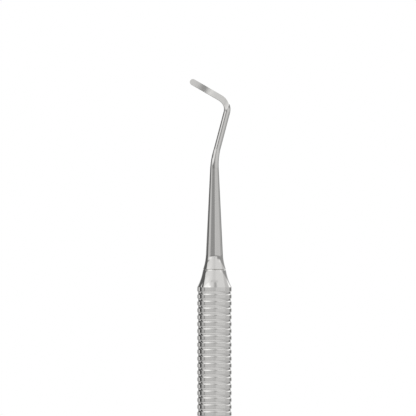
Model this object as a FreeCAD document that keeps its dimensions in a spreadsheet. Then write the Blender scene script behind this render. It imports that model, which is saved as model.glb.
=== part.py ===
import FreeCAD, Part
import os
import re

import Sketcher

# A double-ended dental elevator with a hollow round handle, made of five pieces pressed together.
# Millimetres. +Z runs along the handle. The origin is the middle of the handle's smooth centre band.
# Each end piece is drawn with z = 0 at its handle shoulder, and its Placement carries it there.

DIMENSIONS = {
    # Handle tube
    "handle_radius": (4.0, "outside of the tube, over the ring crowns"),
    "bore_radius": (3.2, "inside of the tube"),
    "band_length": (15.6, "smooth centre band"),
    "ring_pitch": (1.6, "distance from one ring groove to the next"),
    "ring_count": (20, "ring grooves on each half of the tube"),
    "groove_width": (0.92, "width of a ring groove at the crown"),
    "groove_depth": (0.21, "depth of a ring groove"),
    "end_land": (0.88, "plain land between the last ring groove and the shoulder"),
    # Nose
    "nose_height": (4.08, "shoulder to the joint with the working end"),
    "nose_flank_radius": (12.9, "hollow curve of the nose's side"),
    "nose_top_radius": (2.68, "nose at the edge of the joint groove"),
    "spigot_length": (8.0, "part of the nose inside the tube"),
    "press_lead": (0.3, "bevel that starts a press fit"),
    "socket_depth": (9.0, "blind socket for the tang"),
    # Joint groove between nose and working end
    "joint_radius": (2.60, "nose's lip at the bottom of the V groove"),
    "foot_lip_radius": (2.52, "working end's lip at the bottom of the V groove, a little under the nose's"),
    "joint_half_width": (0.14, "each side of the V groove"),
    # Working end
    "tang_radius": (1.25, "tang and socket, a press fit"),
    "tang_length": (8.8, "tang below the joint"),
    "foot_radius": (2.64, "rim of the flared foot"),
    "taper_base_height": (7.55, "where the flare runs into the taper"),
    "taper_base_radius": (1.984, "taper at its lower end"),
    "taper_top_radius": (1.015, "taper at the start of the first bend"),
    "first_bend_height": (29.7, "corner of the first bend"),
    "first_bend_radius": (18.0, "centre line of the first bend"),
    "shank_lean": (14.8, "degrees that the thin shank leans to +X"),
    "thin_shank_length": (13.44, "corner of the first bend to corner of the second"),
    "thin_shank_radius": (0.765, "round thin shank"),
    "second_bend_radius": (2.95, "centre line of the second bend"),
    "blade_rise": (30.0, "degrees that the blade rises above level, towards -X"),
    "blade_reach": (10.45, "corner of the second bend to the end of the blade"),
    "blade_half_width": (0.72, "blade outline, and the radius of its round end"),
    "face_depth": (0.35, "ground face in front of the centre line, at its crest"),
    "face_tilt": (6.0, "degrees that the ground face turns towards the upper edge"),
    "face_crown_radius": (150.0, "gentle crown along the ground face"),
    "face_crest_offset": (5.0, "crest of the crown, from the corner of the second bend"),
    "face_wheel_radius": (2.2, "grinding wheel's run-out on to the round shank, at the face"),
    "face_flat_start": (0.9, "start of that run-out, from the corner of the second bend"),
    "back_depth": (0.15, "ground back behind the centre line"),
    "back_wheel_radius": (3.0, "grinding wheel's run-out at the back of the blade"),
    "back_flat_start": (2.0, "start of the flat back, from the corner of the second bend"),
    "edge_curve_radius": (3.6, "outer edge of the blade in the second bend"),
    "edge_step": (0.24, "where that edge leaves the round shank, below the corner"),
    "inner_edge_start": (2.6, "start of the trimmed lower edge, from the corner"),
    "inner_edge_radius": (2.0, "curve that runs the lower edge out into the bend"),
    "grinding_margin": (0.2, "how far a grinding wheel's run-out passes clear of the rod"),
    "cut_clearance": (2.0, "how far a grinding cut's own outline passes clear of the metal it removes"),
    "face_cut_width": (20.9, "grinding cut for the face, measured across the blade"),
    "cut_thickness": (3.06, "grinding cuts for the back and the outline, clear of the rod on both sides"),
}
SHEET = "sizes"


def build_sheet(doc):
    """Keeps every driving dimension in one spreadsheet, with its name and its meaning."""
    sheet = doc.addObject("Spreadsheet::Sheet", SHEET)
    for row, (alias, (size, meaning)) in enumerate(DIMENSIONS.items(), start=1):
        sheet.set("A%d" % row, alias)
        sheet.set("B%d" % row, str(size))
        sheet.set("C%d" % row, meaning)
        sheet.setAlias("B%d" % row, alias)
    doc.recompute()
    return sheet


def bound(expression):
    """Turns names of dimensions into references to the spreadsheet's cells."""
    names = "|".join(sorted(DIMENSIONS, key=len, reverse=True))
    return re.sub(r"\b(%s)\b" % names, SHEET + r".\1", str(expression))


def number(obj, expression):
    return float(obj.evalExpression(bound(expression)))


def plane_of(body, role):
    return next(item for item in body.Origin.OriginFeatures if item.Role == role)


def new_sketch(body, name, role, offset=None):
    """Adds a sketch on one of the body's origin planes, moved and turned by an expression."""
    sketch = body.newObject("Sketcher::SketchObject", name)
    sketch.AttachmentSupport = [(plane_of(body, role), "")]
    sketch.MapMode = "FlatFace"
    if offset:
        sketch.setExpression("AttachmentOffset", bound(offset))
    body.Document.recompute()
    return sketch


def pin_point(sketch, edge, end, x, y):
    """Fixes one end of an edge by two expressions, measured from the sketch's origin."""
    for kind, expression in (("DistanceX", x), ("DistanceY", y)):
        size = number(sketch, expression)
        index = sketch.addConstraint(Sketcher.Constraint(kind, -1, 1, edge, end, size))
        sketch.setExpression("Constraints[%d]" % index, bound(expression))


def arc_between(start, finish, radius, bulge_left):
    """A circular arc from start to finish; bulge_left puts its middle to the left of the chord.

    It always runs anticlockwise, as a sketch wants its arcs, so one that bulges left starts at finish.
    """
    chord = finish - start
    half = chord.Length / 2
    left = FreeCAD.Vector(-chord.y, chord.x, 0).normalize()
    rise = radius - (radius**2 - half**2) ** 0.5
    middle = (start + finish) / 2 + left * (rise if bulge_left else -rise)
    return Part.Arc(finish, middle, start) if bulge_left else Part.Arc(start, middle, finish)


def draw_outline(sketch, points, arcs=None, closed=True):
    """Draws an outline through points given as pairs of expressions.

    arcs maps the number of an edge to (radius expression, bulges to the left); other edges are straight.
    """
    arcs = arcs or {}
    places = [FreeCAD.Vector(number(sketch, x), number(sketch, y), 0) for x, y in points]
    count = len(points) if closed else len(points) - 1
    ends = []
    for index in range(count):
        start, finish = places[index], places[(index + 1) % len(places)]
        if index in arcs:
            radius, bulge_left = arcs[index]
            arc = arc_between(start, finish, number(sketch, radius), bulge_left)
            edge = sketch.addGeometry(arc)
            ends.append((edge, 2, 1) if bulge_left else (edge, 1, 2))
            held = sketch.addConstraint(Sketcher.Constraint("Radius", edge, number(sketch, radius)))
            sketch.setExpression("Constraints[%d]" % held, bound(radius))
        else:
            edge = sketch.addGeometry(Part.LineSegment(start, finish))
            ends.append((edge, 1, 2))
    for index, (edge, first, last) in enumerate(ends):
        x, y = points[index]
        pin_point(sketch, edge, first, x, y)
        if index + 1 < count or closed:
            following, its_first, _ = ends[(index + 1) % count]
            sketch.addConstraint(Sketcher.Constraint("Coincident", edge, last, following, its_first))
        else:
            x, y = points[index + 1]
            pin_point(sketch, edge, last, x, y)
    sketch.Document.recompute()
    return sketch


def draw_circle(sketch, radius):
    circle = Part.Circle(FreeCAD.Vector(0, 0, 0), FreeCAD.Vector(0, 0, 1), number(sketch, radius))
    edge = sketch.addGeometry(circle)
    sketch.addConstraint(Sketcher.Constraint("Coincident", edge, 3, -1, 1))
    held = sketch.addConstraint(Sketcher.Constraint("Radius", edge, number(sketch, radius)))
    sketch.setExpression("Constraints[%d]" % held, bound(radius))
    sketch.Document.recompute()
    return sketch


def new_body(doc, name):
    body = doc.addObject("PartDesign::Body", name)
    body.Label = name
    return body


def turn_about_axis(body, kind, name, sketch):
    """A Revolution or Groove of the sketch, all the way round the sketch's vertical axis."""
    feature = body.newObject("PartDesign::" + kind, name)
    feature.Profile = sketch
    feature.ReferenceAxis = (sketch, ["V_Axis"])
    feature.Angle = 360.0
    body.Document.recompute()
    return feature


# Centre of the handle to the shoulder where its nose begins
SHOULDER = "(band_length / 2 + (ring_count - 1) * ring_pitch + groove_width + end_land)"


def build_handle_tube(doc):
    """Thin round tube with ring grooves turned into both halves."""
    body = new_body(doc, "handle_tube")
    blank = [
        ("bore_radius", "0 - " + SHOULDER),
        ("handle_radius", "0 - " + SHOULDER),
        ("handle_radius", SHOULDER),
        ("bore_radius", SHOULDER),
    ]
    section = draw_outline(new_sketch(body, "tube_section", "XZ_Plane"), blank)
    turn_about_axis(body, "Revolution", "tube_blank", section)
    for side, sign in (("upper", ""), ("lower", "0 - ")):
        cut_ring_grooves(body, side, sign)
    return body


def cut_ring_grooves(body, side, sign):
    """One round-bottomed groove beside the centre band, repeated to the land at the shoulder."""
    arc_radius = "(groove_width ^ 2 / 4 + groove_depth ^ 2) / (2 * groove_depth)"
    near = "band_length / 2"
    far = near + " + groove_width"
    outside = "handle_radius + groove_depth"
    outline = [
        ("handle_radius", sign + "(" + near + ")"),
        (outside, sign + "(" + near + ")"),
        (outside, sign + "(" + far + ")"),
        ("handle_radius", sign + "(" + far + ")"),
    ]
    sketch = new_sketch(body, side + "_groove_section", "XZ_Plane")
    draw_outline(sketch, outline, {3: (arc_radius, sign != "")})
    groove = turn_about_axis(body, "Groove", side + "_groove", sketch)
    rings = body.newObject("PartDesign::LinearPattern", side + "_grooves")
    rings.Originals = [groove]
    rings.Direction = (sketch, ["V_Axis"])
    rings.Reversed = sign != ""
    rings.setExpression("Length", bound("(ring_count - 1) * ring_pitch"))
    rings.setExpression("Occurrences", bound("ring_count"))
    body.Tip = rings
    body.Document.recompute()


def build_nose(doc, name):
    """Turned cone with a hollow side, a spigot for the tube and a blind socket for the tang."""
    body = new_body(doc, name)
    outline = [
        ("0", "0 - spigot_length"),
        ("bore_radius - press_lead", "0 - spigot_length"),
        ("bore_radius", "press_lead - spigot_length"),
        ("bore_radius", "0"),
        ("handle_radius", "0"),
        ("nose_top_radius", "nose_height - joint_half_width"),
        ("joint_radius", "nose_height"),
        ("tang_radius", "nose_height"),
        ("tang_radius", "nose_height - socket_depth"),
        ("0", "nose_height - socket_depth"),
    ]
    section = new_sketch(body, name + "_section", "XZ_Plane")
    draw_outline(section, outline, {4: ("nose_flank_radius", True)})
    turn_about_axis(body, "Revolution", name + "_turning", section)
    return body


# Places on the bent centre line, in the XZ plane of the working end
FIRST_TANGENT = "first_bend_radius * tan(shank_lean / 2)"
SECOND_TURN = "(90 - blade_rise + shank_lean)"
SECOND_TANGENT = "second_bend_radius * tan(" + SECOND_TURN + " / 2)"
FIRST_START = ("0", "first_bend_height - " + FIRST_TANGENT)
FIRST_END = (
    FIRST_TANGENT + " * sin(shank_lean)",
    "first_bend_height + " + FIRST_TANGENT + " * cos(shank_lean)",
)
CORNER = (
    "thin_shank_length * sin(shank_lean)",
    "(first_bend_height + thin_shank_length * cos(shank_lean))",
)
SECOND_START = (
    CORNER[0] + " - " + SECOND_TANGENT + " * sin(shank_lean)",
    CORNER[1] + " - " + SECOND_TANGENT + " * cos(shank_lean)",
)
SECOND_END = (
    CORNER[0] + " - " + SECOND_TANGENT + " * cos(blade_rise)",
    CORNER[1] + " + " + SECOND_TANGENT + " * sin(blade_rise)",
)
ROD_END = (
    CORNER[0] + " - (blade_reach + blade_half_width) * cos(blade_rise)",
    CORNER[1] + " + (blade_reach + blade_half_width) * sin(blade_rise)",
)


def build_working_end(doc, name):
    """Tang, flared foot, tapered shank, thin bent shank and the ground blade, all one piece."""
    body = new_body(doc, name)
    turn_foot_and_taper(body)
    bend_taper(body)
    bend_thin_shank(body)
    grind_face(body)
    grind_back(body)
    grind_outline(body)
    return body


def turn_foot_and_taper(body):
    """Round tang, foot with a hollow flare, and the long taper up to the first bend."""
    flare = "(taper_base_height - nose_height - joint_half_width)"
    narrowing = "(foot_radius - taper_base_radius)"
    outline = [
        ("0", "nose_height - tang_length"),
        ("tang_radius - press_lead", "nose_height - tang_length"),
        ("tang_radius", "nose_height - tang_length + press_lead"),
        ("tang_radius", "nose_height"),
        ("foot_lip_radius", "nose_height"),
        ("foot_radius", "nose_height + joint_half_width"),
        ("taper_base_radius", "taper_base_height"),
        ("taper_top_radius", FIRST_START[1]),
        FIRST_START,
    ]
    # The flare is hollow and meets the taper without a corner, so its radius follows from its chord and
    # from the angle between that chord and the taper.
    slope = "atan((taper_base_radius - taper_top_radius) / (%s - taper_base_height))" % FIRST_START[1]
    chord_slope = "atan(%s / %s)" % (narrowing, flare)
    chord = "sqrt(%s ^ 2 + %s ^ 2)" % (narrowing, flare)
    flare_radius = "%s / (2 * sin(%s - %s))" % (chord, chord_slope, slope)
    section = new_sketch(body, "foot_section", "XZ_Plane")
    draw_outline(section, outline, {5: (flare_radius, True)})
    turn_about_axis(body, "Revolution", "foot_and_taper", section)


def bend_taper(body):
    """The first bend, which finishes the taper: a sweep along an arc between two round sections."""
    spine = new_sketch(body, "first_bend_line", "XZ_Plane")
    draw_outline(spine, [FIRST_START, FIRST_END], {0: ("first_bend_radius", True)}, closed=False)
    start = new_sketch(body, "first_bend_start", "XY_Plane", level_offset(*FIRST_START, "0"))
    draw_circle(start, "taper_top_radius")
    finish = new_sketch(body, "first_bend_end", "XY_Plane", level_offset(*FIRST_END, "shank_lean"))
    draw_circle(finish, "thin_shank_radius")
    sweep = body.newObject("PartDesign::AdditivePipe", "first_bend")
    sweep.Profile = start
    sweep.Spine = (spine, ["Edge1"])
    sweep.Transformation = "Multisection"
    sweep.Sections = [(finish, [""])]
    body.Document.recompute()


def level_offset(x, z, lean):
    """A level sketch moved to (x, z) in the XZ plane and leaned towards +X."""
    return "placement(vector(%s; 0; %s); rotation(vector(0; 1; 0); %s))" % (x, z, lean)


def bend_thin_shank(body):
    """Thin round shank with the second bend, and the rod that the blade is ground from."""
    spine = new_sketch(body, "thin_shank_line", "XZ_Plane")
    route = [FIRST_END, SECOND_START, SECOND_END, ROD_END]
    draw_outline(spine, route, {1: ("second_bend_radius", False)}, closed=False)
    rod = new_sketch(body, "thin_shank_section", "XY_Plane", level_offset(*FIRST_END, "shank_lean"))
    draw_circle(rod, "thin_shank_radius")
    sweep = body.newObject("PartDesign::AdditivePipe", "thin_shank")
    sweep.Profile = rod
    sweep.Spine = (spine, ["Edge1", "Edge2", "Edge3"])
    body.Document.recompute()


def cut_through(body, name, sketch, length):
    """A Pocket of this length, half to each side of its sketch."""
    pocket = body.newObject("PartDesign::Pocket", name)
    pocket.Profile = sketch
    pocket.Midplane = True
    pocket.setExpression("Length", bound(length))
    body.Document.recompute()
    return pocket


def blade_plane(tilt):
    """Seen across the blade: sketch x runs back along it from the corner, sketch y to its back."""
    place = "vector(%s; 0; %s)" % CORNER
    turn = "rotation(vector(0; 1; 0); blade_rise) * rotation(vector(1; 0; 0); %s)" % tilt
    return "placement(%s; %s)" % (place, turn)


def wheel_reach(radius, rise):
    """How far a run-out of this radius goes along the blade while it rises to the rod's skin."""
    return "sqrt(%s ^ 2 - (%s - %s) ^ 2)" % (radius, radius, rise)


def grind_face(body):
    """The working face: a gentle crown that runs out as a rounded tongue on the thin shank."""
    far = "(0 - blade_reach - cut_clearance)"
    start = "(0 - face_flat_start)"
    front = "0 - thin_shank_radius - cut_clearance"
    rim = "(0 - thin_shank_radius - grinding_margin)"

    def face(x):
        crown = "face_crown_radius - sqrt(face_crown_radius ^ 2 - (%s + face_crest_offset) ^ 2)" % x
        return "(%s - face_depth)" % crown

    run_out = start + " + " + wheel_reach("face_wheel_radius", "(%s - %s)" % (face(start), rim))
    outline = [(far, face(far)), (far, front), (run_out, front), (run_out, rim), (start, face(start))]
    arcs = {3: ("face_wheel_radius", False), 4: ("face_crown_radius", True)}
    sketch = new_sketch(body, "face_cut", "XY_Plane", blade_plane("0 - face_tilt"))
    draw_outline(sketch, outline, arcs)
    cut_through(body, "blade_face", sketch, "face_cut_width")


def grind_back(body):
    """The flat back, with the round run-out that the grinding wheel leaves at the bend."""
    far = "0 - blade_reach - cut_clearance"
    rim = "(thin_shank_radius + grinding_margin)"
    start = "0 - back_flat_start"
    run_out = start + " + " + wheel_reach("back_wheel_radius", "(%s - back_depth)" % rim)
    outline = [(far, "back_depth"), (start, "back_depth"), (run_out, rim), (far, rim)]
    sketch = new_sketch(body, "back_cut", "XY_Plane", blade_plane("0"))
    draw_outline(sketch, outline, {1: ("back_wheel_radius", False)})
    cut_through(body, "blade_back", sketch, "cut_thickness")


def grind_outline(body):
    """Trims the rod to the blade's outline: a stepped outer edge, a round end and a lower edge."""
    half = "blade_half_width"
    round_start = "blade_half_width - blade_reach"
    edge_centre = "0 - sqrt(edge_curve_radius ^ 2 - (edge_curve_radius - %s - edge_step) ^ 2)" % half
    far = "0 - blade_reach - cut_clearance"
    inner_end = "blade_half_width - inner_edge_start"
    inner_drop = "inner_edge_radius - sqrt(inner_edge_radius ^ 2 - blade_half_width ^ 2)"
    outline = [
        ("0", "0 - edge_step"),
        (edge_centre, half),
        (round_start, half),
        ("0 - blade_reach", "0"),
        (round_start, "0 - " + half),
        ("0 - inner_edge_start", "0 - " + half),
        (inner_end, "0 - %s - (%s)" % (half, inner_drop)),
        (inner_end, "0 - cut_clearance"),
        (far, "0 - cut_clearance"),
        (far, "cut_clearance"),
        ("cut_clearance", "cut_clearance"),
        ("cut_clearance", "0 - edge_step"),
    ]
    # Sketch x runs back along the blade from the corner, sketch y across it to its upper edge.
    place = "placement(vector(%s; %s; 0); rotation(vector(0; 0; 1); 0 - blade_rise))" % CORNER
    sketch = new_sketch(body, "outline_cut", "XZ_Plane", place)
    arcs = {
        0: ("edge_curve_radius", False),
        2: (half, False),
        3: (half, False),
        5: ("inner_edge_radius", True),
    }
    draw_outline(sketch, outline, arcs)
    cut_through(body, "blade_outline", sketch, "cut_thickness")


def mirror_working_end(doc, source, name):
    """The other end's piece: the mirror image of the first, as double-ended instruments have.

    Mirrored top to bottom and then turned half round the handle, it points to +X with its face to +Y.
    """
    mirrored = doc.addObject("Part::Mirroring", name)
    mirrored.Label = name
    mirrored.Source = source
    mirrored.Base = FreeCAD.Vector(0, 0, 0)
    mirrored.Normal = FreeCAD.Vector(0, 0, 1)
    half_turn = FreeCAD.Rotation(FreeCAD.Vector(0, 0, 1), 180)
    mirrored.Placement = FreeCAD.Placement(FreeCAD.Vector(0, 0, 0), half_turn)
    doc.recompute()
    return mirrored


def assemble(doc):
    """Makes the five pieces and stands them on one axis."""
    tube = build_handle_tube(doc)
    upper_nose = build_nose(doc, "upper_nose")
    lower_nose = build_nose(doc, "lower_nose")
    upper_end = build_working_end(doc, "upper_working_end")
    shoulder = bound(SHOULDER)
    for piece in (upper_nose, upper_end):
        piece.setExpression("Placement", "placement(vector(0; 0; %s); rotation(0; 0; 0))" % shoulder)
    turned = "placement(vector(0; 0; 0 - %s); rotation(vector(0; 1; 0); 180))" % shoulder
    lower_nose.setExpression("Placement", turned)
    doc.recompute()
    lower_end = mirror_working_end(doc, upper_end, "lower_working_end")
    return [tube, upper_nose, upper_end, lower_nose, lower_end]


def check(doc, pieces):
    """Stops before anything is written if a feature or a piece is not sound."""
    for item in doc.Objects:
        bad = [state for state in item.State if state in ("Invalid", "Error")]
        if bad:
            raise RuntimeError("%s is %s" % (item.Name, bad))
    for piece in pieces:
        shape = piece.Shape
        if shape.isNull() or not shape.isValid() or len(shape.Solids) != 1:
            raise RuntimeError("%s is not one sound solid" % piece.Label)


def write(pieces):
    os.makedirs("parts", exist_ok=True)
    for piece in pieces:
        piece.Shape.exportStep(os.path.join("parts", piece.Label + ".step"))
        box = piece.Shape.optimalBoundingBox()
        print(
            "%-20s volume %9.3f  x %.2f..%.2f  y %.2f..%.2f  z %.2f..%.2f"
            % (piece.Label, piece.Shape.Volume, box.XMin, box.XMax, box.YMin, box.YMax, box.ZMin, box.ZMax)
        )


def main():
    doc = FreeCAD.newDocument("dental_elevator")
    build_sheet(doc)
    pieces = assemble(doc)
    check(doc, pieces)
    write(pieces)


main()
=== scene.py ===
import math

import bpy
from mathutils import Matrix, Vector


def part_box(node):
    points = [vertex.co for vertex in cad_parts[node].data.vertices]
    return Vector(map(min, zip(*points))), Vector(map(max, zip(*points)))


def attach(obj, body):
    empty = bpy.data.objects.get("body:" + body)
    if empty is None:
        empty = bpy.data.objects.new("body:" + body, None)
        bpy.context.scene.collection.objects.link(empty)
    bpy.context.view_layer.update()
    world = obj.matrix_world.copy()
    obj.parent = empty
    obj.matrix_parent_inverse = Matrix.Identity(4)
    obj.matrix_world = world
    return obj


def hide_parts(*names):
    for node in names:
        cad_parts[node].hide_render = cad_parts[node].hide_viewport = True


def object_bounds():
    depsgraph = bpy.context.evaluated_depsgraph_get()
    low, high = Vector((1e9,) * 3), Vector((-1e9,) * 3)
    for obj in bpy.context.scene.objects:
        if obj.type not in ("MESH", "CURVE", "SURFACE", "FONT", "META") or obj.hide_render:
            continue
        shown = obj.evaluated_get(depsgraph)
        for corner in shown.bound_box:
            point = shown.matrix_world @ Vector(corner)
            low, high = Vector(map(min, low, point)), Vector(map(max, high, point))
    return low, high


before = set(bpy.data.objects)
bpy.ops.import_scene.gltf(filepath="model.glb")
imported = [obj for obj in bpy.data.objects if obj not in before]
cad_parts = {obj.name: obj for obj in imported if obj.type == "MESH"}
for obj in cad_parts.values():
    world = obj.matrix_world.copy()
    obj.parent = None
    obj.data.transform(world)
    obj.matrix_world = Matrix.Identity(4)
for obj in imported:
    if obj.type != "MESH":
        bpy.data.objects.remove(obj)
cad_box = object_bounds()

# A double-ended dental elevator in stainless steel: a ringed hollow handle, a nose pressed into each end
# of it, and a working end pressed into each nose. The tube is drawn in millimetres from the middle of the
# handle. Each nose and working end is drawn from the handle's shoulder, and is then carried to its place.
MM = 0.001
BODY = "root"

# Handle tube, read from the frame
TUBE_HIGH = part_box("handle_tube")[1]
SHOULDER = TUBE_HIGH.z / MM
HANDLE_RADIUS = TUBE_HIGH.x / MM
TUBE_WALL = 0.8
BORE_RADIUS = HANDLE_RADIUS - TUBE_WALL

# Ring grooves
RING_PITCH = 1.6
RING_COUNT = 20
GROOVE_WIDTH = 0.92
GROOVE_DEPTH = 0.21
END_LAND = 0.88
FIRST_GROOVE = SHOULDER - END_LAND - GROOVE_WIDTH - RING_PITCH * (RING_COUNT - 1)

# Nose, and the V groove where the working end meets it
NOSE_HEIGHT = 4.08
NOSE_FLANK_RADIUS = 12.9
NOSE_TOP_RADIUS = 2.68
SPIGOT_LENGTH = 8.0
PRESS_LEAD = 0.3
SOCKET_DEPTH = 9.0
JOINT_RADIUS = 2.60
FOOT_LIP_RADIUS = 2.52
JOINT_HALF_WIDTH = 0.14

# Working end
TANG_RADIUS = 1.25
TANG_LENGTH = 8.8
FOOT_RADIUS = 2.64
TAPER_BASE = (1.984, 7.55)
TAPER_TOP_RADIUS = 1.015
FIRST_BEND_HEIGHT = 29.7
FIRST_BEND_RADIUS = 18.0
SHANK_LEAN = math.radians(14.8)
THIN_SHANK_LENGTH = 13.44
THIN_SHANK_RADIUS = 0.765
SECOND_BEND_RADIUS = 2.95
BLADE_RISE = math.radians(30.0)
BLADE_REACH = 10.45
BLADE_HALF_WIDTH = 0.72
FACE_DEPTH = 0.35
FACE_TILT = math.radians(6.0)
FACE_CROWN_RADIUS = 150.0
FACE_CREST = -5.0
FACE_WHEEL_RADIUS = 2.2
FACE_FLAT_START = -0.9
BACK_DEPTH = 0.15
BACK_WHEEL_RADIUS = 3.0
BACK_FLAT_START = -2.0
EDGE_CURVE_RADIUS = 3.6
EDGE_STEP = 0.24
INNER_EDGE_START = -2.6
INNER_EDGE_RADIUS = 2.0

# How far a grinding cut passes clear of the metal: all round, and at the end of a wheel's run-out
CLEAR = 2.0
RIM_CLEAR = 0.2

# How finely the round surfaces are divided: steps round a piece, then pieces of each curve
TURNED_STEPS = 128
SHANK_STEPS = 160
GROOVE_PIECES = 14
FLANK_PIECES = 24
TAPER_PIECES = 8
FIRST_BEND_PIECES = 32
SECOND_BEND_PIECES = 64
CROWN_PIECES = 48
WHEEL_PIECES = 24
EDGE_PIECES = 32
INNER_EDGE_PIECES = 12
ROUND_END_PIECES = 16

# A radius under this is the centre itself
POINT_RADIUS = 1e-9

# Points of an outline that agree to this many decimals share their ring of vertices
SAME_PLACE_DECIMALS = 7

# The least agreement, as a cosine, between a carried normal and its face
LEAST_AGREEMENT = 0.3

# What the meshes carry
NORMALS = "surface_normal"
SURFACE_MAP = "surface_mm"


# Outlines: a list of stretches, each a list of (x, y, normal x, normal y). Going along an outline, the
# metal is on the left, so the normal points to the right.

def straight(start, finish, pieces=1):
    """A straight stretch from start to finish."""
    dx, dy = finish[0] - start[0], finish[1] - start[1]
    length = math.hypot(dx, dy)
    normal = (dy / length, -dx / length)
    return [(start[0] + dx * i / pieces, start[1] + dy * i / pieces, *normal) for i in range(pieces + 1)]


def curve(start, finish, radius, hollow, pieces):
    """A circular stretch. A hollow one dips into the metal, and the other kind bulges out of it."""
    dx, dy = finish[0] - start[0], finish[1] - start[1]
    chord = math.hypot(dx, dy)
    right = (dy / chord, -dx / chord)
    reach = math.sqrt(max(radius**2 - chord**2 / 4, 0.0))
    side = 1.0 if hollow else -1.0
    centre = [(start[i] + finish[i]) / 2 + right[i] * reach * side for i in (0, 1)]
    first = math.atan2(start[1] - centre[1], start[0] - centre[0])
    last = math.atan2(finish[1] - centre[1], finish[0] - centre[0])
    turn = (last - first + math.pi) % (2 * math.pi) - math.pi
    points = []
    for i in range(pieces + 1):
        angle = first + turn * i / pieces
        out = (math.cos(angle), math.sin(angle))
        place = (centre[0] + radius * out[0], centre[1] + radius * out[1])
        points.append((*place, -side * out[0], -side * out[1]))
    return points


# Building meshes: every corner of every face carries its exact surface normal and its place on the
# surface in millimetres, so that long smooth reflections stay clean and polishing lines keep their size.

def make_mesh(name, places, faces, normals, surface):
    mesh = bpy.data.meshes.new(name)
    mesh.from_pydata(places, [], faces)
    held = mesh.attributes.new(NORMALS, "FLOAT_VECTOR", "CORNER")
    held.data.foreach_set("vector", [value for normal in normals for value in normal])
    layer = mesh.uv_layers.new(name=SURFACE_MAP)
    layer.data.foreach_set("uv", [value for spot in surface for value in spot])
    return mesh


def turn_outline(name, outline, centre_line, steps):
    """Carries a closed outline of (radius, height) all the way round a centre line."""
    places, rings = [], []
    ring_at = {}
    for radius, height, _, _ in (point for stretch in outline for point in stretch):
        key = (round(radius, SAME_PLACE_DECIMALS), round(height, SAME_PLACE_DECIMALS))
        if key not in ring_at:
            ring_at[key] = add_ring(places, radius, centre_line(height), steps)
        rings.append(ring_at[key])
    faces, normals, surface = [], [], []
    index = 0
    for stretch in outline:
        for ends in zip(stretch, stretch[1:]):
            pair = (rings[index], rings[index + 1])
            add_band(faces, normals, surface, ends, pair, centre_line, steps)
            index += 1
        index += 1
    return make_mesh(name, places, faces, normals, surface)


def add_ring(places, radius, spot, steps):
    """Adds the vertices round one point of an outline, and returns their numbers."""
    origin, side, across, _ = spot
    first = len(places)
    if radius < POINT_RADIUS:
        places.append(origin)
        return [first] * steps
    for step in range(steps):
        angle = 2 * math.pi * step / steps
        outward = origin + side * (radius * math.cos(angle))
        places.append(outward + across * (radius * math.sin(angle)))
    return list(range(first, first + steps))


def add_band(faces, normals, surface, ends, rings, centre_line, steps):
    """One band of faces between two neighbouring points of an outline."""
    frames = [centre_line(end[1]) for end in ends]
    for j in range(steps):
        corners = []
        for end, step in ((0, j), (0, j + 1), (1, j + 1), (1, j)):
            vertex = rings[end][step % steps]
            if corners and vertex in (corners[-1][0], corners[0][0]):
                continue
            radius, height, out, up = ends[end]
            _, side, across, along = frames[end]
            angle = 2 * math.pi * step / steps
            radial = side * math.cos(angle) + across * math.sin(angle)
            corners.append((vertex, radial * out + along * up, (angle * radius, height)))
        if len(corners) < 3:
            continue
        faces.append([corner[0] for corner in corners])
        normals.extend(corner[1] for corner in corners)
        surface.extend(corner[2] for corner in corners)


def upright(height):
    """The centre line of a piece turned in a lathe."""
    return Vector((0, 0, height)), Vector((1, 0, 0)), Vector((0, 1, 0)), Vector((0, 0, 1))


def make_cutter(name, outline, plane, depth):
    """A prism that grinds metal away. Its outline is drawn in a plane and reaches depth to both sides.

    Its corners carry the normal of the metal that the cut leaves, which faces into the prism.
    """
    origin, ex, ey, ez = plane
    points = []
    for stretch in outline:
        points.extend(stretch[:-1])
    count = len(points)
    places = []
    for level in (-depth, depth):
        places.extend(origin + ex * x + ey * y + ez * level for x, y, _, _ in points)
    faces, normals, surface = [], [], []
    index = 0
    for stretch in outline:
        for k in range(len(stretch) - 1):
            following = (index + 1) % count
            face = [index, following, following + count, index + count]
            ends = (stretch[k], stretch[k + 1], stretch[k + 1], stretch[k])
            levels = (-depth, -depth, depth, depth)
            faces.append(face)
            for (x, y, nx, ny), level in zip(ends, levels):
                normals.append(-(ex * nx + ey * ny))
                surface.append((level, x))
            index += 1
    for face, out in ((list(range(count))[::-1], 1.0), (list(range(count, 2 * count)), -1.0)):
        faces.append(face)
        normals.extend([ez * out] * count)
        surface.extend([(0.0, 0.0)] * count)
    return make_mesh(name, places, faces, normals, surface)


def set_exact_normals(mesh):
    """Shades the mesh with the normals that its corners carry.

    A cut can leave a corner with a neighbour's normal, so one that disagrees takes its face's own.
    """
    held = mesh.attributes[NORMALS].data
    normals = [Vector(item.vector).normalized() for item in held]
    for polygon in mesh.polygons:
        polygon.use_smooth = True
        for loop in polygon.loop_indices:
            if normals[loop].dot(polygon.normal) < LEAST_AGREEMENT:
                normals[loop] = polygon.normal.copy()
    mesh.normals_split_custom_set([tuple(normal) for normal in normals])
    mesh.attributes.remove(mesh.attributes[NORMALS])


def cut(mesh, cutters):
    """Grinds each cutter out of the mesh and returns the mesh that is left."""
    scene = bpy.context.scene
    block = bpy.data.objects.new("blank", mesh)
    scene.collection.objects.link(block)
    tools = []
    for cutter in cutters:
        tool = bpy.data.objects.new("cutter", cutter)
        scene.collection.objects.link(tool)
        grind = block.modifiers.new("grind", "BOOLEAN")
        grind.operation = "DIFFERENCE"
        grind.solver = "EXACT"
        grind.object = tool
        tools.append(tool)
    graph = bpy.context.evaluated_depsgraph_get()
    ground = bpy.data.meshes.new_from_object(block.evaluated_get(graph))
    for item in [block, *tools]:
        bpy.data.objects.remove(item)
    for cutter in cutters:
        bpy.data.meshes.remove(cutter)
    return ground


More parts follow.
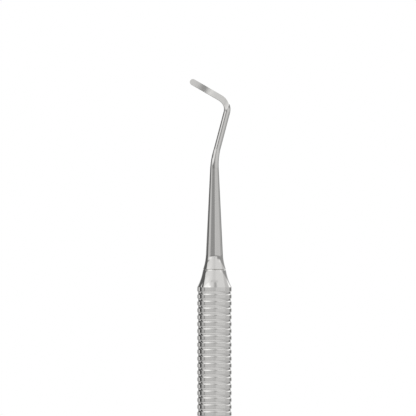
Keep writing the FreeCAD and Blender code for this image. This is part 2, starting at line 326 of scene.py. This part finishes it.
def place_piece(name, mesh, transform, node, material):
    """Puts a finished mesh in the frame as one piece that stands for its CAD node."""
    mesh.transform(transform)
    mesh.name = name
    mesh.materials.clear()
    mesh.materials.append(material)
    piece = bpy.data.objects.new(name, mesh)
    bpy.context.scene.collection.objects.link(piece)
    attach(piece, BODY)
    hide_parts(node)
    return piece


# Handle tube

def groove(start):
    """One round-bottomed ring groove that begins at this height."""
    radius = (GROOVE_WIDTH**2 / 4 + GROOVE_DEPTH**2) / (2 * GROOVE_DEPTH)
    return curve((HANDLE_RADIUS, start), (HANDLE_RADIUS, start + GROOVE_WIDTH), radius, True, GROOVE_PIECES)


def tube_outline():
    """Outside with its ring grooves going up, then the bore coming down."""
    upper = [FIRST_GROOVE + RING_PITCH * i for i in range(RING_COUNT)]
    lower = [-start - GROOVE_WIDTH for start in reversed(upper)]
    outline = []
    height = -SHOULDER
    for start in lower + upper:
        outline.append(straight((HANDLE_RADIUS, height), (HANDLE_RADIUS, start)))
        outline.append(groove(start))
        height = start + GROOVE_WIDTH
    outline.append(straight((HANDLE_RADIUS, height), (HANDLE_RADIUS, SHOULDER)))
    corners = [(HANDLE_RADIUS, SHOULDER), (BORE_RADIUS, SHOULDER), (BORE_RADIUS, -SHOULDER)]
    corners.append((HANDLE_RADIUS, -SHOULDER))
    outline.extend(straight(a, b) for a, b in zip(corners, corners[1:]))
    return outline


# Nose

def nose_outline():
    """Spigot, hollow flank, joint groove and the socket for the tang."""
    floor = NOSE_HEIGHT - SOCKET_DEPTH
    rim = NOSE_HEIGHT - JOINT_HALF_WIDTH
    corners = [(0.0, -SPIGOT_LENGTH), (BORE_RADIUS - PRESS_LEAD, -SPIGOT_LENGTH)]
    corners += [(BORE_RADIUS, PRESS_LEAD - SPIGOT_LENGTH), (BORE_RADIUS, 0.0), (HANDLE_RADIUS, 0.0)]
    outline = [straight(a, b) for a, b in zip(corners, corners[1:])]
    foot, top = (HANDLE_RADIUS, 0.0), (NOSE_TOP_RADIUS, rim)
    outline.append(curve(foot, top, NOSE_FLANK_RADIUS, True, FLANK_PIECES))
    corners = [(NOSE_TOP_RADIUS, rim), (JOINT_RADIUS, NOSE_HEIGHT), (TANG_RADIUS, NOSE_HEIGHT)]
    corners += [(TANG_RADIUS, floor), (0.0, floor)]
    outline.extend(straight(a, b) for a, b in zip(corners, corners[1:]))
    return outline


# Working end

FIRST_TANGENT = FIRST_BEND_RADIUS * math.tan(SHANK_LEAN / 2)
SECOND_TURN = math.pi / 2 - BLADE_RISE + SHANK_LEAN
SECOND_TANGENT = SECOND_BEND_RADIUS * math.tan(SECOND_TURN / 2)
FIRST_START = FIRST_BEND_HEIGHT - FIRST_TANGENT
FIRST_END = FIRST_START + FIRST_BEND_RADIUS * SHANK_LEAN
SECOND_START = FIRST_END + THIN_SHANK_LENGTH - FIRST_TANGENT - SECOND_TANGENT
SECOND_END = SECOND_START + SECOND_BEND_RADIUS * SECOND_TURN
ROD_END = SECOND_END + BLADE_REACH + BLADE_HALF_WIDTH - SECOND_TANGENT
CORNER = Vector(
    (
        THIN_SHANK_LENGTH * math.sin(SHANK_LEAN),
        0.0,
        FIRST_BEND_HEIGHT + THIN_SHANK_LENGTH * math.cos(SHANK_LEAN),
    )
)


def leaning(origin, lean):
    """A place on the centre line, and the directions sideways, across and along where it leans to +X."""
    side = Vector((math.cos(lean), 0, -math.sin(lean)))
    along = Vector((math.sin(lean), 0, math.cos(lean)))
    return origin, side, Vector((0, 1, 0)), along


def bent_line(distance):
    """The centre line of the working end: straight, first bend, straight, second bend, straight."""
    if distance <= FIRST_START:
        return leaning(Vector((0, 0, distance)), 0.0)
    if distance <= FIRST_END:
        lean = (distance - FIRST_START) / FIRST_BEND_RADIUS
        x = FIRST_BEND_RADIUS * (1 - math.cos(lean))
        return leaning(Vector((x, 0, FIRST_START + FIRST_BEND_RADIUS * math.sin(lean))), lean)
    start = CORNER - leaning(CORNER, SHANK_LEAN)[3] * SECOND_TANGENT
    if distance <= SECOND_START:
        return leaning(start - leaning(start, SHANK_LEAN)[3] * (SECOND_START - distance), SHANK_LEAN)
    if distance <= SECOND_END:
        lean = SHANK_LEAN - (distance - SECOND_START) / SECOND_BEND_RADIUS
        centre = start - leaning(start, SHANK_LEAN)[1] * SECOND_BEND_RADIUS
        return leaning(centre + leaning(start, lean)[1] * SECOND_BEND_RADIUS, lean)
    lean = SHANK_LEAN - SECOND_TURN
    along = leaning(CORNER, lean)[3]
    return leaning(CORNER + along * (SECOND_TANGENT + distance - SECOND_END), lean)


def working_end_outline():
    """Tang, foot, flare, taper and the thin rod, as radius against distance along the centre line."""
    tang_end = NOSE_HEIGHT - TANG_LENGTH
    rim = NOSE_HEIGHT + JOINT_HALF_WIDTH
    corners = [(0.0, tang_end), (TANG_RADIUS - PRESS_LEAD, tang_end), (TANG_RADIUS, tang_end + PRESS_LEAD)]
    corners += [(TANG_RADIUS, NOSE_HEIGHT), (FOOT_LIP_RADIUS, NOSE_HEIGHT), (FOOT_RADIUS, rim)]
    outline = [straight(a, b) for a, b in zip(corners, corners[1:])]
    chord = (FOOT_RADIUS - TAPER_BASE[0], TAPER_BASE[1] - rim)
    slope = math.atan((TAPER_BASE[0] - TAPER_TOP_RADIUS) / (FIRST_START - TAPER_BASE[1]))
    flare_radius = math.hypot(*chord) / (2 * math.sin(math.atan2(*chord) - slope))
    outline.append(curve((FOOT_RADIUS, rim), TAPER_BASE, flare_radius, True, FLANK_PIECES))
    spots = [TAPER_BASE, (TAPER_TOP_RADIUS, FIRST_START)]
    spots += [(THIN_SHANK_RADIUS, distance) for distance in (FIRST_END, SECOND_START, SECOND_END, ROD_END)]
    pieces = [TAPER_PIECES, FIRST_BEND_PIECES, TAPER_PIECES, SECOND_BEND_PIECES, TAPER_PIECES]
    outline.extend(straight(a, b, count) for a, b, count in zip(spots, spots[1:], pieces))
    outline.append(straight(spots[-1], (0.0, ROD_END)))
    return outline


def blade_plane(tilt):
    """Axes of the blade: x runs back along it from the corner, y to its back, z to its upper edge."""
    back_along = Vector((math.cos(BLADE_RISE), 0, -math.sin(BLADE_RISE)))
    upper = Vector((math.sin(BLADE_RISE), 0, math.cos(BLADE_RISE)))
    to_back = Vector((0, 1, 0))
    ey = to_back * math.cos(tilt) - upper * math.sin(tilt)
    ez = upper * math.cos(tilt) + to_back * math.sin(tilt)
    return CORNER, back_along, ey, ez


def face_cutter():
    """Grinds the working face: a gentle crown that runs out as a tongue on the thin shank."""
    far = -BLADE_REACH - CLEAR
    front = -THIN_SHANK_RADIUS - CLEAR
    rim = -THIN_SHANK_RADIUS - RIM_CLEAR

    def face(x):
        return FACE_CROWN_RADIUS - math.sqrt(FACE_CROWN_RADIUS**2 - (x - FACE_CREST) ** 2) - FACE_DEPTH

    rise = face(FACE_FLAT_START) - rim
    run_out = FACE_FLAT_START + math.sqrt(FACE_WHEEL_RADIUS**2 - (FACE_WHEEL_RADIUS - rise) ** 2)
    start = (FACE_FLAT_START, face(FACE_FLAT_START))
    outline = [
        straight((far, face(far)), (far, front)),
        straight((far, front), (run_out, front)),
        straight((run_out, front), (run_out, rim)),
        curve((run_out, rim), start, FACE_WHEEL_RADIUS, False, WHEEL_PIECES),
        curve(start, (far, face(far)), FACE_CROWN_RADIUS, True, CROWN_PIECES),
    ]
    return make_cutter("face_cutter", outline, blade_plane(FACE_TILT), 2 * BLADE_REACH)


def back_cutter():
    """Grinds the flat back, with the wheel's round run-out at the bend."""
    far = -BLADE_REACH - CLEAR
    rim = THIN_SHANK_RADIUS + RIM_CLEAR
    rise = rim - BACK_DEPTH
    run_out = BACK_FLAT_START + math.sqrt(BACK_WHEEL_RADIUS**2 - (BACK_WHEEL_RADIUS - rise) ** 2)
    outline = [
        straight((far, BACK_DEPTH), (BACK_FLAT_START, BACK_DEPTH)),
        curve((BACK_FLAT_START, BACK_DEPTH), (run_out, rim), BACK_WHEEL_RADIUS, False, WHEEL_PIECES),
        straight((run_out, rim), (far, rim)),
        straight((far, rim), (far, BACK_DEPTH)),
    ]
    return make_cutter("back_cutter", outline, blade_plane(0.0), 2 * THIN_SHANK_RADIUS)


def outline_cutter():
    """Trims the rod to the blade's outline: a stepped outer edge, a round end and a lower edge."""
    far = -BLADE_REACH - CLEAR
    half = BLADE_HALF_WIDTH
    round_start = half - BLADE_REACH
    edge_centre = -math.sqrt(EDGE_CURVE_RADIUS**2 - (EDGE_CURVE_RADIUS - half - EDGE_STEP) ** 2)
    inner_end = INNER_EDGE_START + half
    inner_drop = INNER_EDGE_RADIUS - math.sqrt(INNER_EDGE_RADIUS**2 - half**2)
    inner_foot = (inner_end, -half - inner_drop)
    outline = [
        straight((0.0, -EDGE_STEP), (CLEAR, -EDGE_STEP)),
        straight((CLEAR, -EDGE_STEP), (CLEAR, CLEAR)),
        straight((CLEAR, CLEAR), (far, CLEAR)),
        straight((far, CLEAR), (far, -CLEAR)),
        straight((far, -CLEAR), (inner_end, -CLEAR)),
        straight((inner_end, -CLEAR), inner_foot),
        curve(inner_foot, (INNER_EDGE_START, -half), INNER_EDGE_RADIUS, False, INNER_EDGE_PIECES),
        straight((INNER_EDGE_START, -half), (round_start, -half)),
        curve((round_start, -half), (-BLADE_REACH, 0.0), half, True, ROUND_END_PIECES),
        curve((-BLADE_REACH, 0.0), (round_start, half), half, True, ROUND_END_PIECES),
        straight((round_start, half), (edge_centre, half)),
        curve((edge_centre, half), (0.0, -EDGE_STEP), EDGE_CURVE_RADIUS, True, EDGE_PIECES),
    ]
    origin, ex, ey, ez = blade_plane(0.0)
    return make_cutter("outline_cutter", outline, (origin, ex, ez, -ey), 2 * THIN_SHANK_RADIUS)


# The floor's radius, in metres, and the sides of its round outline
FLOOR_RADIUS = 0.6
FLOOR_SIDES = 96


# Materials

def linear(hex_colour):
    """An sRGB hex colour as linear red, green and blue."""
    values = [int(hex_colour[i:i + 2], 16) / 255 for i in (1, 3, 5)]
    return [v / 12.92 if v <= 0.04045 else ((v + 0.055) / 1.055) ** 2.4 for v in values]


def add(tree, kind, inputs=None, **settings):
    """Adds a node, sets its settings, and sets or links its inputs."""
    node = tree.nodes.new(kind)
    for name, value in settings.items():
        setattr(node, name, value)
    for key, value in (inputs or {}).items():
        if isinstance(value, bpy.types.NodeSocket):
            tree.links.new(value, node.inputs[key])
        else:
            node.inputs[key].default_value = value
    return node


def new_material(name):
    material = bpy.data.materials.new(name)
    material.use_nodes = True
    material.node_tree.nodes.clear()
    return material, material.node_tree


# A mix node keeps one pair of inputs for each kind of value, so its inputs go by number
MIX_NUMBERS = (2, 3)
MIX_VECTORS = (4, 5)
MIX_COLOURS = (6, 7)
VECTOR_RESULT = 1
COLOUR_RESULT = 2

# Single scratches: angle in degrees, and spacing and length in mm before their bends stretch them. Real
# ones are finer, and these are as wide as they need to be to show. Then the share of the surface that they
# cover, how softly they end, how much they bend, and how deep they are in mm
SCRATCH_SETS = ((24, 0.10, 2.6), (-67, 0.12, 1.8))
SCRATCH_SHARE = 0.27
SCRATCH_EDGE = 0.04
SCRATCH_BEND = 0.35
SCRATCH_STRENGTH = 0.5
SCRATCH_DEPTH = 0.0005

# How much rougher full wear makes the metal, under the film and on a scratch
FILM_HAZE = 0.03
SCRATCH_HAZE = 0.05

# Height of the polishing lines, in mm
RIDGE_HEIGHT = 0.002

# How far apart the other patterns repeat, in mm: the drift in the steel's tone, the patches of its film
# and the tooth of the floor's paper
DRIFT_SIZE = 4.0
FILM_PATCH = 5 / 3
TOOTH_SIZE = 4 / 3


def scattered_scratches(tree, place, degrees, spacing, length):
    """Fine single scratches, all lying much the same way: 1 on a scratch and 0 off it."""
    grid = {
        "Vector": place,
        "Rotation": (0.0, 0.0, math.radians(degrees)),
        "Scale": (1 / length, 1 / spacing, 1.0),
    }
    laid = add(tree, "ShaderNodeMapping", grid).outputs["Vector"]
    bend = add(tree, "ShaderNodeTexNoise", {"Vector": laid, "Scale": 0.7, "Detail": 1.0}).outputs["Color"]
    mixed = {"Factor": SCRATCH_BEND, MIX_VECTORS[0]: laid, MIX_VECTORS[1]: bend}
    bent = add(tree, "ShaderNodeMix", mixed, data_type="VECTOR").outputs[VECTOR_RESULT]
    noise = add(tree, "ShaderNodeTexNoise", {"Vector": bent, "Scale": 1.0, "Detail": 0.0}).outputs["Fac"]
    mark = {"Value": noise, "From Min": 1 - SCRATCH_SHARE, "From Max": 1 - SCRATCH_SHARE + SCRATCH_EDGE}
    return add(tree, "ShaderNodeMapRange", mark, interpolation_type="SMOOTHSTEP").outputs["Result"]


def steel(name, light, dark, roughness, line_scale, line_depth, wear):
    """Stainless steel: a slight drift in tone, polishing lines, a film from handling, and light scratches.

    Roughness is the least and most that the lines give. Line_scale is lines per mm, round the piece and
    along it. Real polishing lines are finer than these, which are drawn coarser so that they show. Wear
    says how much the film and the scratches show, from 0 to 1.
    """
    material, tree = new_material(name)
    place = add(tree, "ShaderNodeUVMap", uv_map=SURFACE_MAP).outputs["UV"]
    solid = add(tree, "ShaderNodeTexCoord").outputs["Object"]

    # Tone that drifts, so that no stretch is one flat grey
    drifting = {"Vector": solid, "Scale": 1 / (DRIFT_SIZE * MM), "Detail": 2.0}
    drift = add(tree, "ShaderNodeTexNoise", drifting).outputs["Fac"]
    colours = {"Factor": drift, MIX_COLOURS[0]: (*linear(light), 1), MIX_COLOURS[1]: (*linear(dark), 1)}
    tone = add(tree, "ShaderNodeMix", colours, data_type="RGBA").outputs[COLOUR_RESULT]

    # Polishing lines, which draw a highlight out across them
    laid = add(tree, "ShaderNodeMapping", {"Vector": place, "Scale": (*line_scale, 1.0)}).outputs["Vector"]
    lines = add(tree, "ShaderNodeTexNoise", {"Vector": laid, "Scale": 1.0, "Detail": 3.0}).outputs["Fac"]
    limits = {"Value": lines, "To Min": roughness[0], "To Max": roughness[1]}
    sheen = add(tree, "ShaderNodeMapRange", limits).outputs["Result"]
    ridges = {"Height": lines, "Strength": line_depth, "Distance": RIDGE_HEIGHT * MM}
    ridged = add(tree, "ShaderNodeBump", ridges).outputs["Normal"]

    # Film from handling: small patches that mirror a little less sharply
    patches = {"Vector": solid, "Scale": 1 / (FILM_PATCH * MM), "Detail": 5.0, "Roughness": 0.65}
    touched = add(tree, "ShaderNodeTexNoise", patches).outputs["Fac"]
    haze = {"Value": touched, "From Min": 0.45, "From Max": 0.75, "To Max": FILM_HAZE * wear}
    film = add(tree, "ShaderNodeMapRange", haze).outputs["Result"]
    hazed = add(tree, "ShaderNodeMath", {0: sheen, 1: film}, operation="ADD").outputs[0]

    # Light scratches in two directions, dull and very slightly sunk
    sets = [scattered_scratches(tree, place, *scratches) for scratches in SCRATCH_SETS]
    scratched = add(tree, "ShaderNodeMath", dict(enumerate(sets)), operation="MAXIMUM").outputs[0]
    dulling = {0: scratched, 1: SCRATCH_HAZE * wear, 2: hazed}
    dulled = add(tree, "ShaderNodeMath", dulling, operation="MULTIPLY_ADD").outputs[0]
    furrows = {
        "Height": scratched,
        "Strength": SCRATCH_STRENGTH * wear,
        "Distance": SCRATCH_DEPTH * MM,
        "Normal": ridged,
    }
    scored = add(tree, "ShaderNodeBump", furrows, invert=True).outputs["Normal"]

    metal = {"Base Color": tone, "Metallic": 1.0, "Roughness": dulled, "Normal": scored}
    shader = add(tree, "ShaderNodeBsdfPrincipled", metal)
    add(tree, "ShaderNodeOutputMaterial", {"Surface": shader.outputs[0]})
    return material


def turned_steel():
    """Handle, turned in a lathe and buffed: rings left by the tool soften each highlight along the grip."""
    return steel(
        "turned_stainless_steel",
        light="#C8C7C5",
        dark="#C3C2C0",
        roughness=(0.07, 0.11),
        line_scale=(0.3, 14.0),
        line_depth=0.06,
        wear=0.5,
    )


def polished_steel():
    """Noses, turned and mirror polished: the sharpest and brightest reflections on the instrument."""
    return steel(
        "polished_stainless_steel",
        light="#C9C8C6",
        dark="#C5C4C2",
        roughness=(0.05, 0.08),
        line_scale=(0.3, 14.0),
        line_depth=0.04,
        wear=0.35,
    )


def ground_steel():
    """Working ends, ground along their length: long clean streaks with a faint grain that follows them."""
    return steel(
        "ground_stainless_steel",
        light="#C8C7C5",
        dark="#C5C4C2",
        roughness=(0.05, 0.08),
        line_scale=(10.0, 0.4),
        line_depth=0.04,
        wear=0.4,
    )


def floor_paint():
    """Matt white paper, with a faint tooth that keeps it from looking like plastic.

    Real paper's tooth is finer, and this is drawn as coarse as it needs to be to show. Its pattern runs
    once across the floor, so its scale is the floor's width in teeth.
    """
    material, tree = new_material("matt_white_paper")
    teeth = {"Scale": 2 * FLOOR_RADIUS / (TOOTH_SIZE * MM), "Detail": 4.0}
    tooth = add(tree, "ShaderNodeTexNoise", teeth).outputs["Fac"]
    relief = {"Height": tooth, "Strength": 0.05, "Distance": 0.1 * MM}
    toothed = add(tree, "ShaderNodeBump", relief).outputs["Normal"]
    paper = {"Base Color": (*linear("#F2F2F0"), 1), "Roughness": 0.8, "Normal": toothed}
    shader = add(tree, "ShaderNodeBsdfPrincipled", paper)
    add(tree, "ShaderNodeOutputMaterial", {"Surface": shader.outputs[0]})
    return material


# Studio: the light that the steel mirrors, laid out by bearing and height in degrees. Bearing 0 is towards
# the camera, -90 to the left as the camera sees it, and 90 to the right. A tone is the grey that plain
# polished steel shows where it mirrors that part of the studio: 0 is black and 255 is white, and the key
# light goes past it. A later panel lies over the earlier ones.

STEEL_MIRROR = linear("#C6C5C2")[1]
SCREEN_GAMMA = 2.2
FULL_TONE = 255
DEGREES = 180 / math.pi

PANELS = [
    # name, bearing from, to, edge softness, height from, to, edge softness, tone
    ("floor_left", -190, -112, 12, -91, -16, 6, 130),
    ("floor_right", 60, 190, 50, -91, -14, 6, 176),
    ("level_front_left", -66, 11, 5, -20, 2.8, 3, 184),
    ("level_front", -7, 11, 5, -20, 2.8, 3, 178),
    ("level_front_right", 11, 76, 5, -20, 2.8, 3, 191),
    ("level_right", 76, 117, 12, -20, 2.5, 3, 176),
    ("low_right_shade", 64, 116, 12, -19, -9, 3, 160),
    ("level_back_right", 117, 128, 6, -20, 13, 4, 145),
    ("level_post_right", 128, 148, 5, -20, 13, 4, 100),
    ("level_far_right", 148, 190, 6, -20, 13, 4, 178),
    ("level_far_left", -190, -128, 5, -20, 3, 3, 146),
    ("level_strip_left", -128, -114, 5, -20, 3, 3, 202),
    ("level_flag_left", -115, -101, 4, -20, 3, 3, 40),
    ("level_edge_left", -101, -92, 4, -20, 3, 3, 100),
    ("level_side_left", -92, -76, 4, -20, 2.8, 3, 170),
    ("level_post_left", -76, -66, 4, -20, 2.8, 3, 140),
    ("upper_wall", -96, 104, 8, 8, 91, 3, 204),
    ("low_left", -98, -60, 6, 2.5, 8, 2, 184),
    ("low_front", -58, 6, 12, 2.8, 8, 2, 138),
    ("low_front_step", -22, 4, 8, 0.9, 4, 1, 140),
    ("low_right", 12, 112, 10, 2.5, 6.8, 1.5, 183),
    ("line_left", -60, 14, 10, 6.4, 8.6, 1.2, 116),
    ("line_right", 10, 96, 12, 6.8, 9, 1.2, 132),
    ("ledge_right", 36, 112, 14, 7.5, 14, 4, 138),
    ("cove_left", -74, -36, 16, 9.5, 15, 4, 230),
    ("wall_left", -92, -30, 16, 14, 64, 6, 211),
    ("glow_left", -86, -52, 22, 27, 38, 6, 224),
    ("column", -14, 12, 22, 9, 90, 4, 195),
    ("post_left", -100, -71, 8, 12.9, 15.6, 1.5, 140),
    ("edge_right", 92, 124, 10, 12, 60, 5, 183),
    ("edge_right_low", 90, 152, 14, 3, 16.5, 4, 138),
    ("streak_right", 58, 74, 6, 13.5, 19, 3, 222),
    ("glow_left_high", -104, -44, 18, 39.5, 50, 4, 243),
    ("shelf", -37, 32, 12, 38.5, 42.5, 3, 188),
    ("shelf_left", -52, -37, 8, 38.5, 42.5, 3, 217),
    ("key_light", -98, -36, 18, 49, 64, 4, 266),
    ("overhead_left", -190, -6, 20, 64, 91, 6, 189),
    ("overhead_right", 24, 190, 12, 62, 91, 8, 209),
    ("flag_left", -154, -96, 6, 1.5, 42, 3, 88),
    ("strip_left", -120, -111, 4, 27, 38, 4, 205),
    ("window_right", 131, 154, 7, 15, 75, 6, 250),
    ("lens_shade", 4.2, 5.5, 0.4, 10.6, 13.8, 0.6, 122),
    ("lens_rim", 5.6, 6.4, 0.3, 10.2, 12.2, 0.5, 226),
    ("back_wall_left", -190, -154, 8, 3, 64, 4, 160),
    ("back_wall_right", 152, 190, 8, 13, 64, 4, 185),
]

# The tone wherever no panel lies
PLAIN_TONE = 200

# The dark gap between the two overhead lights runs front to back, so it is measured sideways, from -1 to 1
OVERHEAD_GAP = (-0.03, 0.22, 0.2)
GAP_HEIGHT = (43, 100, 6)
GAP_TONE = 158


def window(tree, value, low, high, softness):
    """1 between low and high and 0 outside, with soft edges."""
    half = softness / 2
    edges = []
    for edge, before, after in ((low, 0.0, 1.0), (high, 1.0, 0.0)):
        ramp = {"Value": value, "From Min": edge - half, "From Max": edge + half}
        ramp |= {"To Min": before, "To Max": after}
        step = add(tree, "ShaderNodeMapRange", ramp, interpolation_type="SMOOTHSTEP")
        edges.append(step.outputs["Result"])
    return add(tree, "ShaderNodeMath", dict(enumerate(edges)), operation="MULTIPLY").outputs[0]


def lay_panel(tree, light, across, up, tone):
    """Lays a tone over the light so far, where both windows are open."""
    mask = add(tree, "ShaderNodeMath", {0: across, 1: up}, operation="MULTIPLY").outputs[0]
    layers = {"Factor": mask, MIX_NUMBERS[0]: light, MIX_NUMBERS[1]: mirrored_tone(tone)}
    return add(tree, "ShaderNodeMix", layers).outputs[0]


def mirrored_tone(tone):
    """The brightness that plain polished steel mirrors as this grey."""
    return (tone / FULL_TONE) ** SCREEN_GAMMA / STEEL_MIRROR


def build_studio():
    """The panels, worked out from the direction in which a reflection leaves. The backdrop is white."""
    world = bpy.data.worlds.new("studio")
    bpy.context.scene.world = world
    world.use_nodes = True
    tree = world.node_tree
    tree.nodes.clear()
    direction = add(tree, "ShaderNodeTexCoord").outputs["Generated"]
    split = add(tree, "ShaderNodeSeparateXYZ", {0: direction})
    ahead = add(tree, "ShaderNodeMath", {0: split.outputs["Y"], 1: -1.0}, operation="MULTIPLY").outputs[0]
    turn = add(tree, "ShaderNodeMath", {0: split.outputs["X"], 1: ahead}, operation="ARCTAN2").outputs[0]
    bearing = add(tree, "ShaderNodeMath", {0: turn, 1: DEGREES}, operation="MULTIPLY").outputs[0]
    lift = add(tree, "ShaderNodeMath", {0: split.outputs["Z"]}, operation="ARCSINE").outputs[0]
    height = add(tree, "ShaderNodeMath", {0: lift, 1: DEGREES}, operation="MULTIPLY").outputs[0]
    light = mirrored_tone(PLAIN_TONE)
    for _, left, right, side_edge, low, high, level_edge, tone in PANELS:
        across = window(tree, bearing, left, right, side_edge)
        up = window(tree, height, low, high, level_edge)
        light = lay_panel(tree, light, across, up, tone)
    gap = window(tree, split.outputs["X"], *OVERHEAD_GAP)
    light = lay_panel(tree, light, gap, window(tree, height, *GAP_HEIGHT), GAP_TONE)
    seen = add(tree, "ShaderNodeLightPath").outputs["Is Camera Ray"]
    backdrop = {"Factor": seen, MIX_NUMBERS[0]: light, MIX_NUMBERS[1]: 1.0}
    shown = add(tree, "ShaderNodeMix", backdrop).outputs[0]
    background = add(tree, "ShaderNodeBackground", {"Color": shown})
    add(tree, "ShaderNodeOutputWorld", {"Surface": background.outputs[0]})


def build_floor():
    """A round pale floor under the lower tip."""
    mesh = bpy.data.meshes.new("floor")
    level = cad_box[0].z
    turns = [2 * math.pi * i / FLOOR_SIDES for i in range(FLOOR_SIDES)]
    rim = [(FLOOR_RADIUS * math.cos(turn), FLOOR_RADIUS * math.sin(turn), level) for turn in turns]
    mesh.from_pydata(rim, [], [list(range(FLOOR_SIDES))])
    mesh.materials.append(floor_paint())
    floor = bpy.data.objects.new("floor", mesh)
    bpy.context.scene.collection.objects.link(floor)
    # The steel mirrors the studio's own floor panels, which carry its darker far side
    floor.visible_glossy = False


# Camera: metres from the instrument, the width that it sees there in mm, and its place in mm to the side
# of the axis and above the handle's shoulder
CAMERA_DISTANCE = 2.5
VIEW_WIDTH = 96.46
CAMERA_SIDE = -1.50
CAMERA_HEIGHT = 18.37
SENSOR_WIDTH = 36.0


def build_camera():
    """A long lens, level with the upper half of the instrument, looking along +Y."""
    data = bpy.data.cameras.new("camera")
    data.sensor_width = SENSOR_WIDTH
    data.lens = SENSOR_WIDTH * CAMERA_DISTANCE / (VIEW_WIDTH * MM)
    data.clip_start = 0.01
    data.clip_end = 20.0
    camera = bpy.data.objects.new("camera", data)
    camera.location = (CAMERA_SIDE * MM, -CAMERA_DISTANCE, (SHOULDER + CAMERA_HEIGHT) * MM)
    camera.rotation_euler = (math.pi / 2, 0, 0)
    bpy.context.scene.collection.objects.link(camera)
    bpy.context.scene.camera = camera


# Instrument

def invert(mesh):
    """Mirrors a mesh through its origin and keeps its faces outwards."""
    normals = [tuple(-Vector(corner.vector)) for corner in mesh.corner_normals]
    starts = [(polygon.loop_start, polygon.loop_total) for polygon in mesh.polygons]
    mesh.transform(Matrix.Scale(-1.0, 4))
    mesh.flip_normals()
    turned = []
    for start, total in starts:
        corners = normals[start:start + total]
        turned.extend([corners[0]] + corners[:0:-1])
    mesh.normals_split_custom_set(turned)


def build_instrument():
    """All five pieces. The lower working end is the upper one, mirrored through the handle's middle."""
    turned, polished, ground = turned_steel(), polished_steel(), ground_steel()
    size = Matrix.Scale(MM, 4)
    lift = Matrix.Translation((0, 0, SHOULDER * MM)) @ size
    drop = Matrix.Translation((0, 0, -SHOULDER * MM)) @ size
    over = Matrix.Rotation(math.pi, 4, "Y") @ lift

    tube = turn_outline("handle_tube", tube_outline(), upright, TURNED_STEPS)
    set_exact_normals(tube)
    place_piece("grip_tube", tube, size, "handle_tube", turned)

    for node, transform in (("upper_nose", lift), ("lower_nose", over)):
        nose = turn_outline(node, nose_outline(), upright, TURNED_STEPS)
        set_exact_normals(nose)
        place_piece(node + "_cone", nose, transform, node, polished)

    rod = turn_outline("rod", working_end_outline(), bent_line, SHANK_STEPS)
    upper = cut(rod, [face_cutter(), back_cutter(), outline_cutter()])
    lower = upper.copy()
    set_exact_normals(upper)
    place_piece("upper_elevator_end", upper, lift, "upper_working_end", ground)
    set_exact_normals(lower)
    invert(lower)
    place_piece("lower_elevator_end", lower, drop, "lower_working_end", ground)


build_camera()
build_studio()
build_floor()
build_instrument()
bpy.context.scene.view_settings.view_transform = "Standard"
